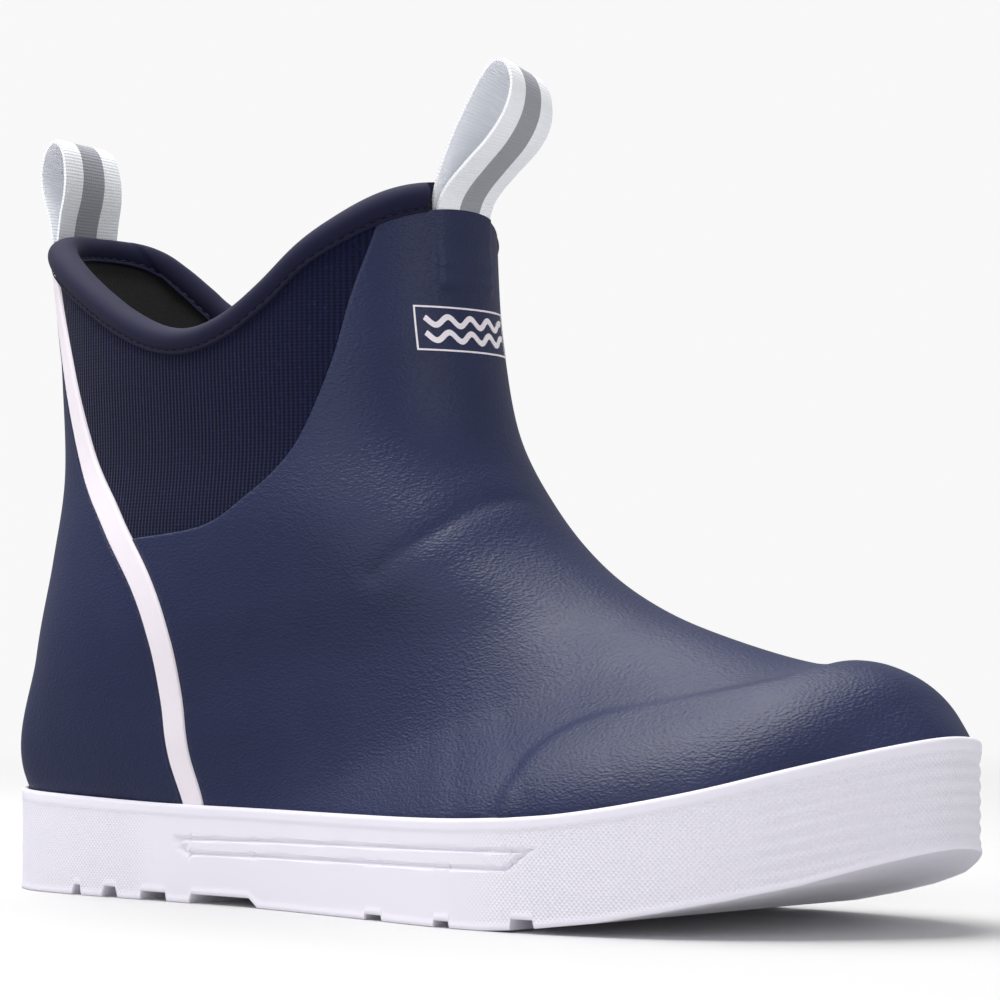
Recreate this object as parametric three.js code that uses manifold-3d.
// Ankle-height rubber deck boot for the right foot, in millimetres.
// +X points to the toe, +Y to the inner (medial) side of the foot, +Z up.
// The origin is on the ground, under the middle of the outsole.
import * as THREE from "three";
import { mergeVertices } from "three/addons/utils/BufferGeometryUtils.js";
import Module from "manifold-3d";

const wasm = await Module();
wasm.setup();

// Driving dimensions
const GAP = 0.3; // clearance kept between neighbouring pieces
const RUBBER = 1.6; // rubber skin of the upper
const GUSSET_RECESS = 0.6; // the knit gussets lie this far below the rubber skin
const STRIPE_RISE = 0.5; // the welded stripes stand this far above it
const LINING = 3.5; // foam bootie
const STIFFENER = 1.2; // toe puff and heel counter
const BINDING_HEIGHT = 7.5; // padded collar binding, from its lower edge to the rim
const BINDING_OUT = 1.2; // how far the binding bulges outside the skin
const BINDING_IN = 6.6; // and how far its inner face lies inside it
const LOOP_WIDTH = 22; // webbing of the pull loops
const WEBBING = 1.6; // one ply of it
const TAIL = 2.4; // the two plies of a loop's sewn-in tail, pressed flat
const LOOP_FOOT = 1.7; // half the thickness of a loop where its two plies meet
const FRONT_LOOP_Y = 3; // the front loop sits on the instep line, a little medial
const TAIL_DROP = 1.5; // and its top lies this far below the rim
const TAIL_DEPTH = 20; // length of each loop's sewn-in tail below the rim
const SIDE = 80; // half width of a cutting prism, more than any half width of the boot
const MIDSOLE = 7.5;
const BOARD = 2;
const BOOTIE_FLOOR = 3;
const FOOTBED = 4.5;
const FOOTBED_TOE = 131; // the footbed stops here, short of the toe's corner
const HEEL_CUP = 5; // rise of the footbed's rim at the heel
const SKIN_INSET = 2; // the skin meets the sole this far inside the sole's outline
const EASE = { from: 34, to: 72 }; // heights between which the form is eased onto the sole
const FOOT_POINTS = 240;
const FORM_STEPS = 24; // quads along the boot form
const FORM_SIDES = 28; // quads around it

// The boot form: sections fan out from the collar, round the ankle, to the toe.
// front and back are [x, z] on the centre line, shift moves those ends in y, and lateral
// and medial are the half widths that weight the front, the middle and the back.
const SECTIONS = [
  { front: [0, 190], back: [-146, 190], shift: [0, 0], lateral: [53, 29, 48], medial: [52, 29, 49] },
  { front: [0, 165], back: [-142, 165], shift: [0, 0], lateral: [53, 29, 47], medial: [53, 29, 48] },
  { front: [2, 145], back: [-138, 138], shift: [0, 0], lateral: [53, 30, 49], medial: [53, 30, 48] },
  { front: [7, 122], back: [-136, 112], shift: [1, 0], lateral: [54, 30, 51], medial: [54, 30, 49] },
  { front: [19, 103], back: [-138, 89], shift: [2, 0], lateral: [56, 32, 58], medial: [56, 32, 55] },
  { front: [35, 88.5], back: [-142.5, 62], shift: [4, 0], lateral: [53, 31, 66], medial: [53, 28, 65] },
  { front: [57, 77], back: [-148.5, 27], shift: [6, 0], lateral: [49, 29, 66], medial: [45, 20, 67] },
  { front: [81, 69.5], back: [-116, -8], shift: [5, 0], lateral: [47, 38, 46], medial: [41, 20, 39] },
  { front: [105, 63.5], back: [2, -11], shift: [7, 1], lateral: [46, 61, 64], medial: [43, 45, 57] },
  { front: [125, 62.5], back: [87, 1], shift: [7, 2], lateral: [33, 52, 56], medial: [38, 41, 53] },
  { front: [139, 55], back: [125, 20], shift: [6, 4], lateral: [17, 30, 36], medial: [25, 31, 38] },
  { front: [149, 39], back: [149, 39], shift: [5, 5], lateral: [0, 0, 0], medial: [0, 0, 0] },
];

// Outsole outline from above, heel first, then the lateral edge, the toe and the medial edge.
const OUTLINE = [
  [-148.5, 0], [-145.5, -19.5], [-133, -33], [-113, -38], [-74, -39.5], [-36, -40.5],
  [2, -46.5], [39, -53.5], [59, -54.3], [78, -52.6], [97, -48.3], [114, -40.5],
  [129, -28], [142, -12], [149, 5], [145.5, 23], [132, 37.6], [114.6, 46],
  [96, 50.8], [77, 53], [58, 52.7], [39, 49.7], [20, 44.4], [2, 38.6],
  [-17, 34.3], [-36, 32.4], [-55, 32.4], [-74, 34], [-93, 37], [-113, 38],
  [-133, 33], [-145.5, 19.5],
];

// Side views, [x, z]: top edge of the sole wall, and the floor of the cup inside it.
const SOLE_TOP = [
  [-160, 28.5], [-110, 26.8], [-60, 25.6], [20, 25.7], [60, 26.8],
  [85, 29.2], [110, 34], [130, 40], [160, 50],
];
const CUP_FLOOR = [[-160, 9], [-60, 9], [50, 9], [90, 11.5], [120, 16.5], [160, 25]];

// Bottom edge of the tread: heel lugs, the arch, the forefoot with its cuts and the toe spring.
const TREAD = [
  [-160, 6], [-150, 3], [-146, 0], [-107, 0], [-106, 2.7], [-103.5, 2.7], [-103, 0],
  [-94.5, 0], [-93.5, 2.9], [-89, 2.9], [-88, 0], [-79, 0], [-78.5, 2.3], [-69, 2.3],
  [-68.5, 0], [-60, 0], [-59, 2.4], [-37, 2.4], [-33.5, 0], [12, 0], [12.3, 1.4],
  [19, 1.4], [19.3, 0], [40, 0], [40.3, 1.6], [45.5, 1.6], [45.8, 0], [56, 0],
  [65, 0.6], [65.3, 3.2], [71.5, 3.2], [72, 1.3], [88, 3.2], [103, 6], [117, 9],
  [130, 12.5], [149, 20], [160, 26],
];
const SIDE_GROOVE = { x: [-64, 71], z: [13, 17.2], depth: 0.8 };

// Collar rim, [x, z] for each side, from the back to the front.
const RIM_BACK = [[-165, 184], [-150, 182], [-142, 181]];
const RIM_FRONT = [
  [-60, 150.5], [-48, 154], [-37, 161], [-26, 170.5], [-16, 177.5], [-6, 184],
  [2, 187.5], [15, 191],
];
const RIM_LATERAL = [[-133, 178.5], [-124, 174.5], [-113, 169], [-100, 162.5], [-86, 156], [-72, 151.3]];
const RIM_MEDIAL = [
  [-136, 178.5], [-130, 174], [-123, 168], [-117, 163], [-105, 156.5], [-88, 152], [-73, 150],
];
const RIM = {
  lateral: [...RIM_BACK, ...RIM_LATERAL, ...RIM_FRONT],
  medial: [...RIM_BACK, ...RIM_MEDIAL, ...RIM_FRONT],
};
const RIM_TOP = { front: 187, back: 181.5 };

// Seams of the upper in side view: the stripe's middle line and the front shell's rear edge.
const STRIPE_LINE = [
  [-133, 190], [-128, 165], [-117, 142], [-103, 116], [-88, 100], [-74, 84],
  [-67, 69], [-64.5, 53], [-63.5, 38], [-60, 24], [-58, 5],
];
const STRIPE_WIDTH = 7.5;
const SHELL_EDGE = [
  [-5, 195], [-8.5, 174], [-12.5, 157], [-16, 139], [-23, 120.5], [-30, 111.5],
  [-38, 105.5], [-47, 100], [-57, 97.3], [-79, 95.3], [-95, 95],
];

const materials = {
  soleRubber: new THREE.MeshStandardMaterial({ color: 0xe4e1eb, roughness: 0.55, metalness: 0 }),
  navyRubber: new THREE.MeshStandardMaterial({ color: 0x2a3156, roughness: 0.5, metalness: 0 }),
  whiteRubber: new THREE.MeshStandardMaterial({ color: 0xe6dee6, roughness: 0.5, metalness: 0 }),
  knit: new THREE.MeshStandardMaterial({ color: 0x191c4b, roughness: 0.9, metalness: 0 }),
  binding: new THREE.MeshStandardMaterial({ color: 0x232350, roughness: 0.8, metalness: 0 }),
  lining: new THREE.MeshStandardMaterial({ color: 0x101013, roughness: 0.95, metalness: 0 }),
  foam: new THREE.MeshStandardMaterial({ color: 0x2b2d33, roughness: 0.9, metalness: 0 }),
  board: new THREE.MeshStandardMaterial({ color: 0xc9bda6, roughness: 0.85, metalness: 0 }),
  stiffener: new THREE.MeshStandardMaterial({ color: 0x3a3a3e, roughness: 0.7, metalness: 0 }),
  webbing: new THREE.MeshStandardMaterial({ color: 0xebeef3, roughness: 0.85, metalness: 0 }),
};

// One Catmull-Rom step between b and c.
function blend(a, b, c, d, t) {
  return 0.5 * (2 * b + (c - a) * t + (2 * a - 5 * b + 4 * c - d) * t * t + (3 * b - a - 3 * c + d) * t ** 3);
}

// A smooth curve through [x, z] points, as a list of Vector2.
function smooth(points, divisions) {
  return new THREE.SplineCurve(points.map(([x, z]) => new THREE.Vector2(x, z))).getPoints(divisions);
}

function raise(points, dz) {
  return points.map(([x, z]) => [x, z + dz]);
}

// A section as one row of numbers: front, back, shift, lateral, medial.
function sectionRow({ front, back, shift, lateral, medial }) {
  return [...front, ...back, ...shift, ...lateral, ...medial];
}

// The same section seen from beyond the toe: its ends swap and its widths turn over.
function mirroredRow({ front, back, shift, lateral, medial }) {
  const turned = (widths) => [...widths].reverse().map((w) => -w);
  return [...back, ...front, shift[1], shift[0], ...turned(lateral), ...turned(medial)];
}

const rows = SECTIONS.map(sectionRow);
const firstRow = rows[0].map((value, i) => 2 * value - rows[1][i]);
const table = [firstRow, ...rows, mirroredRow(SECTIONS.at(-2))];
const LAST = SECTIONS.length - 1;

// A point of the plain form: station 0 is the collar and LAST the toe tip; angle 0 is the
// front of a section, and the lateral side comes before the medial one.
function plainPoint(station, angle) {
  const i = Math.min(Math.floor(station), LAST - 1);
  const t = station - i;
  const [a, b, c, d] = table.slice(i, i + 4);
  const row = a.map((_, k) => blend(a[k], b[k], c[k], d[k], t));
  const [fx, fz, bx, bz, fy, by] = row;
  const back = (1 - Math.cos(angle)) / 2;
  const front = 1 - back;
  const side = Math.sin(angle) >= 0 ? 6 : 9;
  const width = row[side] * front * front + 2 * row[side + 1] * front * back + row[side + 2] * back * back;
  return new THREE.Vector3(
    fx * front + bx * back,
    fy * front + by * back - Math.sin(angle) * width,
    fz * front + bz * back,
  );
}

// Height of a side-view curve at x.
function heightAt(curve, x) {
  const i = Math.max(1, curve.findIndex((p) => p.x >= x));
  const [a, b] = [curve[i - 1], curve[i]];
  return a.y + ((b.y - a.y) * (x - a.x)) / (b.x - a.x);
}

// Where one line of the plain form, at a fixed angle, comes down to the top of the sole wall.
function footPoint(angle) {
  const height = (station) => {
    const point = plainPoint(station, angle);
    return point.z - heightAt(soleTopCurve, point.x);
  };
  let high = 3;
  while (height(high + 0.1) > 0) {
    high += 0.1;
  }
  const drop = height(high) - height(high + 0.1);
  return plainPoint(high + (0.1 * height(high)) / drop, angle);
}

// Distance from the origin to a ring of plan points, as a function of direction.
function ringRadius(points) {
  const ring = points.map((p) => ({ x: p.x, y: p.y, angle: Math.atan2(p.y, p.x) }));
  ring.sort((a, b) => a.angle - b.angle);
  return (angle) => {
    const next = ring.findIndex((p) => p.angle > angle);
    const b = ring[Math.max(next, 0)];
    const a = ring.at(Math.max(next, 0) - 1);
    const chord = { x: b.x - a.x, y: b.y - a.y };
    return (a.x * b.y - a.y * b.x) / (Math.cos(angle) * chord.y - Math.sin(angle) * chord.x);
  };
}

const soleTopCurve = smooth(SOLE_TOP, 60);
const outlineControls = OUTLINE.map(([x, y]) => new THREE.Vector3(x, y, 0));
const outlineCurve = new THREE.CatmullRomCurve3(outlineControls, true, "catmullrom", 0.5);
const outlinePoints = outlineCurve.getPoints(108).slice(0, -1).map((p) => new THREE.Vector2(p.x, p.y));

// The outline of the sole, moved inwards.
function insetOutline(distance) {
  return outlinePoints.map((point, i) => {
    const before = outlinePoints.at(i - 1);
    const after = outlinePoints[(i + 1) % outlinePoints.length];
    const direction = after.clone().sub(before).normalize();
    return new THREE.Vector2(point.x - direction.y * distance, point.y + direction.x * distance);
  });
}

const footPoints = Array.from({ length: FOOT_POINTS }, (_, i) => footPoint((i / FOOT_POINTS) * 2 * Math.PI));
const skinRadius = ringRadius(insetOutline(SKIN_INSET));
const footRadius = ringRadius(footPoints);

// A point of the boot form: the plain form, eased low down so that its foot follows the
// outline of the sole, a little inside it, and kept inside that line below the sole's edge.
function formPoint(station, angle) {
  const point = plainPoint(station, angle);
  const direction = Math.atan2(point.y, point.x);
  const limit = skinRadius(direction);
  const ease = 1 - THREE.MathUtils.smoothstep(point.z, EASE.from, EASE.to);
  let scale = 1 + (limit / footRadius(direction) - 1) * ease;
  if (point.z < heightAt(soleTopCurve, point.x)) {
    scale = Math.min(scale, limit / Math.hypot(point.x, point.y));
  }
  point.x *= scale;
  point.y *= scale;
  return point;
}

// Outward normal of the form, from differences along and around it.
function formNormal(station, angle) {
  const step = 0.02;
  const ahead = formPoint(Math.min(station + step, LAST), angle);
  const along = ahead.sub(formPoint(Math.max(station - step, 0), angle));
  const around = formPoint(station, angle + step).sub(formPoint(station, angle - step));
  return around.cross(along).normalize();
}

// The closed solid inside the form, with its skin moved outwards by offset.
function formGeometry(offset) {
  const positions = [];
  const indices = [];
  for (let i = 0; i < FORM_STEPS; i += 1) {
    const station = (i / FORM_STEPS) * LAST;
    for (let j = 0; j < FORM_SIDES; j += 1) {
      const angle = (j / FORM_SIDES) * 2 * Math.PI;
      const point = formPoint(station, angle).addScaledVector(formNormal(station, angle), offset);
      positions.push(point.x, point.y, i === 0 ? SECTIONS[0].front[1] : point.z);
    }
  }
  const cap = positions.length / 3;
  positions.push(-70, 0, SECTIONS[0].front[1]);
  const [tipX, tipZ] = SECTIONS.at(-1).front;
  positions.push(tipX + offset, SECTIONS.at(-1).shift[0], tipZ);
  for (let j = 0; j < FORM_SIDES; j += 1) {
    const next = (j + 1) % FORM_SIDES;
    indices.push(cap, next, j);
    for (let i = 0; i < FORM_STEPS - 1; i += 1) {
      const a = i * FORM_SIDES;
      const b = a + FORM_SIDES;
      indices.push(a + j, b + next, b + j, a + j, a + next, b + next);
    }
    const last = (FORM_STEPS - 1) * FORM_SIDES;
    indices.push(last + j, last + next, cap + 1);
  }
  const geometry = new THREE.BufferGeometry();
  geometry.setAttribute("position", new THREE.Float32BufferAttribute(positions, 3));
  geometry.setIndex(indices);
  return geometry;
}

// A closed geometry as a manifold solid.
function toSolid(geometry) {
  const bare = geometry.clone();
  bare.deleteAttribute("normal");
  bare.deleteAttribute("uv");
  const merged = mergeVertices(bare, 1e-4);
  const vertProperties = new Float32Array(merged.attributes.position.array);
  const triVerts = new Uint32Array(merged.index.array);
  return new wasm.Manifold(new wasm.Mesh({ numProp: 3, vertProperties, triVerts }));
}

const formCache = new Map();
function form(offset) {
  if (!formCache.has(offset)) {
    formCache.set(offset, toSolid(formGeometry(offset)));
  }
  return formCache.get(offset);
}

// The skin between two offsets of the form.
function layer(outer, inner) {
  return form(outer).subtract(form(inner));
}

// A prism with an outline in side view, from y0 to y1.
function prism(outline, y0 = -SIDE, y1 = SIDE) {
  const shape = new THREE.Shape(outline.map((p) => (p.isVector2 ? p : new THREE.Vector2(...p))));
  const geometry = new THREE.ExtrudeGeometry(shape, { depth: y1 - y0, bevelEnabled: false, steps: 1 });
  geometry.rotateX(Math.PI / 2).translate(0, y1, 0);
  return toSolid(geometry);
}

// A tall prism with an outline in plan.
function planPrism(outline) {
  const geometry = new THREE.ExtrudeGeometry(new THREE.Shape(outline), { depth: 80, bevelEnabled: false });
  geometry.translate(0, 0, -10);
  return toSolid(geometry);
}

// The space of the sole's wall, which the pieces inside the cup keep clear of.
function wallSpace() {
  const below = prism([[-170, -5], [170, -5], ...smooth(raise(SOLE_TOP, GAP), 24).reverse()]);
  return below.subtract(planPrism(insetOutline(SKIN_INSET)));
}

// Everything between two curves that run along x.
function between(lower, upper, y0, y1) {
  return prism([...lower, ...[...upper].reverse()], y0, y1);
}

// The space above one level of the sole and below the top of the form.
function above(points, dz) {
  const lower = smooth(raise(points, dz), 12);
  return prism([...lower, [170, 200], [-170, 200]]);
}

// A slice of the form between two heights over the cup's floor.
function slab(offset, low, high) {
  const lower = smooth(raise(CUP_FLOOR, low), 12);
  const upper = smooth(raise(CUP_FLOOR, high), 12);
  return form(offset).intersect(between(lower, upper)).subtract(soleWall);
}

// The band below the rim from high to low, each measured down from the rim.
function rimBand(high, low) {
  const half = (points, y0, y1) => {
    const [lower, upper] = [low, high].map((drop) => smooth(raise(points, -drop), 26));
    return between(lower, upper, y0, y1);
  };
  return half(RIM.lateral, -SIDE, 0).add(half(RIM.medial, 0, SIDE));
}

function box(x0, x1, y0, y1, z0, z1) {
  const geometry = new THREE.BoxGeometry(x1 - x0, y1 - y0, z1 - z0);
  geometry.translate((x0 + x1) / 2, (y0 + y1) / 2, (z0 + z1) / 2);
  return toSolid(geometry);
}

// Side-view regions of the upper
const BELOW_RIM = 60; // how far down the cutting band for the upper reaches

// The stripe's edge on one side, margin away from the middle line (positive to the front).
function stripeEdge(margin) {
  const line = smooth(STRIPE_LINE, 16);
  return line.map((point, i) => {
    const before = line[Math.max(i - 1, 0)];
    const after = line[Math.min(i + 1, line.length - 1)];
    const direction = after.clone().sub(before).normalize();
    return new THREE.Vector2(point.x - direction.y * margin, point.y + direction.x * margin);
  });
}

const half = STRIPE_WIDTH / 2;
const behindStripe = () => prism([[-180, 195], ...stripeEdge(-half - GAP), [-180, 5]]);
const stripeRegion = () => prism([...stripeEdge(half), ...stripeEdge(-half).reverse()]);
const beforeStripe = () => prism([...stripeEdge(half + GAP), [170, 5], [170, 195]]);
const beforeShellEdge = (margin) => {
  const edge = smooth(SHELL_EDGE.map(([x, z]) => [x + margin, z - margin]), 16);
  return prism([...edge, [-95 + margin, 0], [170, 0], [170, 200]]);
};

// Levels of the parts inside the cup, measured up from its floor
const midsoleTop = GAP + MIDSOLE;
const boardTop = midsoleTop + GAP + BOARD;
const bootieLow = boardTop + GAP;
const bootieFloorTop = bootieLow + BOOTIE_FLOOR;
const skinLow = midsoleTop + GAP;
const underBinding = BINDING_HEIGHT + GAP;
const inside = RUBBER + GAP; // outer face of everything under the rubber

function skinSpace() {
  const upperLimit = prism([[-180, 0], [170, 0], [170, 200], [-180, 200]]);
  const whole = upperLimit.intersect(above(CUP_FLOOR, skinLow)).subtract(soleWall);
  return whole.subtract(rimBand(-BELOW_RIM, underBinding));
}

function outsole() {
  const profile = prism([...TREAD, ...smooth(SOLE_TOP, 24).reverse()]);
  const cup = form(GAP).intersect(above(CUP_FLOOR, 0)).intersect(planPrism(insetOutline(SKIN_INSET - GAP)));
  return planPrism(outlinePoints).intersect(profile).subtract(cup).subtract(sideGrooves());
}

// The long trapezoid sunk into the sole wall at the waist, on both sides.
function sideGrooves() {
  const { x: [x0, x1], z: [z0, z1], depth } = SIDE_GROOVE;
  const panel = [[x0, z1], [x0 + 4, z0], [x1 - 6, z0 + 1.6], [x1, z1 + 2.2]];
  const inner = panel.map(([x, z], i) => [x + (i < 2 ? 3 : -3), z + (i % 3 === 0 ? -1.3 : 1.3)]);
  return prism(panel).subtract(prism(inner)).subtract(planPrism(insetOutline(depth)));
}

// Foam footbed with a raised heel cup.
function footbed() {
  const low = bootieFloorTop + GAP;
  const wall = inside + LINING + GAP;
  const body = slab(-wall, low, low + FOOTBED);
  const rim = slab(-wall, low, low + FOOTBED + HEEL_CUP).subtract(form(-wall - FOOTBED));
  const heelOnly = prism([[-180, 0], [-60, 0], [-95, 80], [-180, 80]]);
  const room = planPrism(insetOutline(SKIN_INSET + wall + 1));
  const shortOfToe = room.intersect(box(-180, FOOTBED_TOE, -SIDE, SIDE, 0, 80));
  return mainBody(body.add(rim.intersect(heelOnly)).intersect(shortOfToe));
}

// The slim stiffeners between the skin and the bootie; grow widens their pocket.
function toePuffSpace(grow) {
  return prism([[62 - grow, 5], [72 - grow, 80], [170, 80], [170, 5]]);
}

function heelCounterSpace(grow) {
  const top = [[-95 + grow, 5], [-88 + grow, 45], [-112 + grow, 72 + grow], [-180, 78 + grow], [-180, 5]];
  return prism(top);
}

// The layer that the bootie gives up where a stiffener lies.
function pocketLayer() {
  return layer(0, -inside - STIFFENER - GAP);
}

function stiffener(space) {
  const low = above(CUP_FLOOR, bootieLow);
  const body = layer(-inside, -inside - STIFFENER).intersect(pocketLayer()).subtract(layer(0, -RUBBER));
  return mainBody(body.intersect(space(0)).intersect(low).subtract(soleWall));
}

// The largest body of a solid, without the slivers a cut leaves along a sharp fold.
function mainBody(solid) {
  return solid.decompose().reduce((a, b) => (b.volume() > a.volume() ? b : a));
}

function bootie() {
  const cavity = form(-inside - LINING).intersect(above(CUP_FLOOR, bootieFloorTop));
  const pockets = pocketLayer();
  return form(-inside)
    .intersect(above(CUP_FLOOR, bootieLow))
    .subtract(cavity)
    .subtract(soleWall)
    .subtract(rimBand(-BELOW_RIM, underBinding))
    .subtract(pockets.intersect(toePuffSpace(GAP)))
    .subtract(pockets.intersect(heelCounterSpace(GAP)))
    .subtract(tailSpace("front", GAP))
    .subtract(tailSpace("rear", GAP));
}

// The sewn-in tail of a pull loop: two plies of webbing flat against the foam.
function tailSpace(end, grow) {
  const isFront = end === "front";
  const top = isFront ? RIM_TOP.front : RIM_TOP.back;
  const y = isFront ? FRONT_LOOP_Y : 0;
  const x = isFront ? [-40, 20] : [-170, -110];
  const span = LOOP_WIDTH / 2 + grow;
  const skin = form(-inside + grow).subtract(form(-inside - TAIL - grow));
  const high = grow > 0 ? top + 20 : top - TAIL_DROP;
  return skin.intersect(box(...x, y - span, y + span, top - TAIL_DEPTH - grow, high));
}

function binding() {
  return layer(BINDING_OUT, -BINDING_IN)
    .intersect(rimBand(0, BINDING_HEIGHT))
    .subtract(notch("front"))
    .subtract(notch("rear"));
}

// The binding is squeezed flat where the webbing crosses it.
function notch(end) {
  const isFront = end === "front";
  const y = isFront ? FRONT_LOOP_Y : 0;
  const x = isFront ? [-40, 20] : [-170, -110];
  const span = LOOP_WIDTH / 2 + GAP;
  const cut = form(BINDING_OUT + 2).subtract(form(-inside - TAIL - GAP));
  return cut.intersect(box(...x, y - span, y + span, 150, 200));
}

// A teardrop prism in side view: an arc of the given radius on top, and the tangents from
// it that pass the middle of the base at the given reach and end at height z0.
function teardrop({ height, topRadius, radius, reach, z0 }, width) {
  const centre = height - topRadius;
  const lean = Math.asin((topRadius - LOOP_FOOT) / centre);
  const foot = (reach + z0 * Math.sin(lean)) / Math.cos(lean);
  const arc = new THREE.EllipseCurve(0, centre, radius, radius, Math.PI + lean, -lean, true);
  return prism([...arc.getPoints(24), [foot, z0], [-foot, z0]], -width / 2, width / 2);
}

// A pull loop of webbing standing on its stitch line.
function loop(name, { x, y, z, height, width, lean }) {
  const topRadius = width / 2;
  const outer = teardrop({ height, topRadius, radius: topRadius, reach: LOOP_FOOT, z0: 0 }, LOOP_WIDTH);
  const finger = { height, topRadius, radius: topRadius - WEBBING, reach: LOOP_FOOT - WEBBING, z0: 3 };
  const mesh = piece(name, outer.subtract(teardrop(finger, LOOP_WIDTH + 2)), materials.webbing);
  mesh.position.set(x, y, z);
  mesh.rotation.y = lean;
  return mesh;
}

function piece(name, solid, material) {
  const { numProp, vertProperties, triVerts } = solid.getMesh();
  const positions = [];
  for (let i = 0; i < vertProperties.length; i += numProp) {
    positions.push(vertProperties[i], vertProperties[i + 1], vertProperties[i + 2]);
  }
  const geometry = new THREE.BufferGeometry();
  geometry.setAttribute("position", new THREE.Float32BufferAttribute(positions, 3));
  geometry.setIndex(Array.from(triVerts));
  const mesh = new THREE.Mesh(geometry, material);
  mesh.name = name;
  return mesh;
}

const soleWall = wallSpace();
const boot = new THREE.Group();
const skin = layer(0, -RUBBER).intersect(skinSpace());
const gussetSkin = layer(-GUSSET_RECESS, -RUBBER).intersect(skinSpace());
const stripeSkin = layer(STRIPE_RISE, -RUBBER).intersect(skinSpace()).intersect(stripeRegion())
  .intersect(above(SOLE_TOP, GAP));
const lateral = () => box(-180, 170, -SIDE, 0, 0, 200);
const medial = () => box(-180, 170, 0, SIDE, 0, 200);

boot.add(piece("outsole", outsole(), materials.soleRubber));
boot.add(piece("midsole", slab(0, GAP, midsoleTop), materials.foam));
boot.add(piece("lasting_board", slab(-inside, midsoleTop + GAP, boardTop), materials.board));
boot.add(piece("bootie_lining", bootie(), materials.lining));
boot.add(piece("footbed", footbed(), materials.foam));
boot.add(piece("toe_puff", stiffener(toePuffSpace), materials.stiffener));
boot.add(piece("heel_counter", stiffener(heelCounterSpace), materials.stiffener));

const frontSpace = beforeStripe().intersect(beforeShellEdge(0));
const frontShell = skin.intersect(frontSpace).subtract(tailSpace("front", GAP));
const heelShell = skin.intersect(behindStripe()).subtract(tailSpace("rear", GAP));
boot.add(piece("front_shell", frontShell, materials.navyRubber));
boot.add(piece("heel_shell", heelShell, materials.navyRubber));
const gusset = gussetSkin.intersect(beforeStripe()).subtract(beforeShellEdge(-GAP));
boot.add(piece("gusset_lateral", gusset.intersect(lateral()), materials.knit));
boot.add(piece("gusset_medial", gusset.intersect(medial()), materials.knit));
boot.add(piece("stripe_lateral", stripeSkin.intersect(lateral()), materials.whiteRubber));
boot.add(piece("stripe_medial", stripeSkin.intersect(medial()), materials.whiteRubber));

boot.add(piece("collar_binding", binding(), materials.binding));
boot.add(piece("front_loop_tail", tailSpace("front", 0), materials.webbing));
boot.add(piece("rear_loop_tail", tailSpace("rear", 0), materials.webbing));

const loopBase = inside + WEBBING;
const frontStitch = { x: -loopBase, y: FRONT_LOOP_Y, z: RIM_TOP.front + 2 };
const rearStitch = { x: -144 + loopBase, y: 0, z: RIM_TOP.back + 2 };
boot.add(loop("front_pull_loop", { ...frontStitch, height: 32, width: 13, lean: 0.62 }));
boot.add(loop("rear_pull_loop", { ...rearStitch, height: 27.2, width: 11, lean: -0.15 }));

export default boot;
